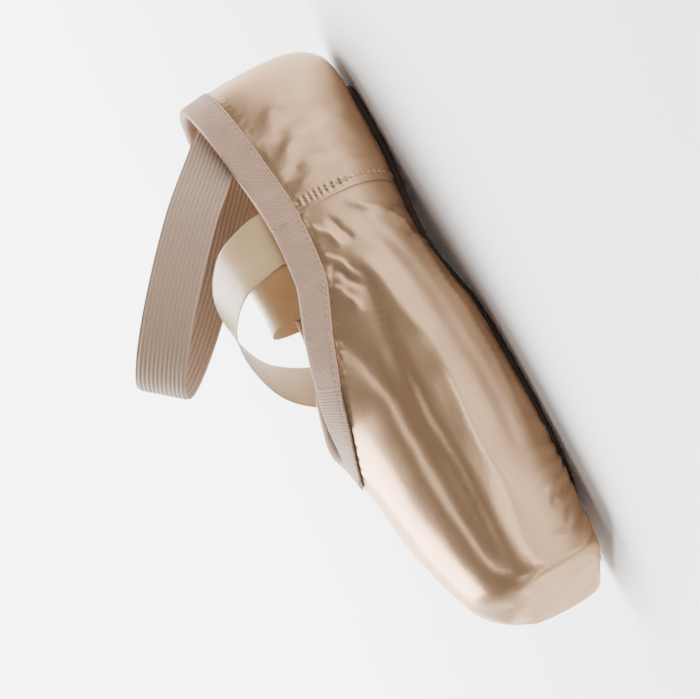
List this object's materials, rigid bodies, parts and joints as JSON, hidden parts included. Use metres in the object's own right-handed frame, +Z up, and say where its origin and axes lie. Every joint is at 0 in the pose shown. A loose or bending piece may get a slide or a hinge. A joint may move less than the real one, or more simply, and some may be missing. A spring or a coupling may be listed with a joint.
{
  "type": "pointe shoe",
  "caption": "Satin pointe shoe with a stiff flat-ended toe box, a stitched leatherboard sole, a bound collar, an ankle elastic and ribbons, standing empty on its sole.",
  "frame": {"origin": "on the floor, midway between the heel strip's back and the platform, in the shoe's mid plane", "axes": "+X toward the toe, +Y toward the shoe's left side, +Z up"},
  "size_m": [0.3045, 0.5163, 0.121],
  "materials": {
    "satin": "glossy peach satin over a canvas lining, with soft long highlights",
    "leatherboard": "matt brown leatherboard with a nearly black edge and a scored lattice",
    "sock_lining": "plain matt cotton sock",
    "twill": "matt pinkish-beige twill with fine diagonal ribs",
    "ribbed_elastic": "matt elastic with fine lengthwise ribs",
    "matte_satin": "dull satin with a stitch line along each edge",
    "ribbon_satin": "soft matt satin ribbon"
  },
  "bodies": {
    "root": {"upper": "satin", "outsole": "leatherboard", "insole": "sock_lining", "collar_binding": "twill", "throat_elastic": "ribbed_elastic", "heel_strip": "matte_satin", "ankle_elastic": "ribbed_elastic", "ribbon_left": "ribbon_satin", "ribbon_right": "ribbon_satin"}
  },
  "joints": []
}
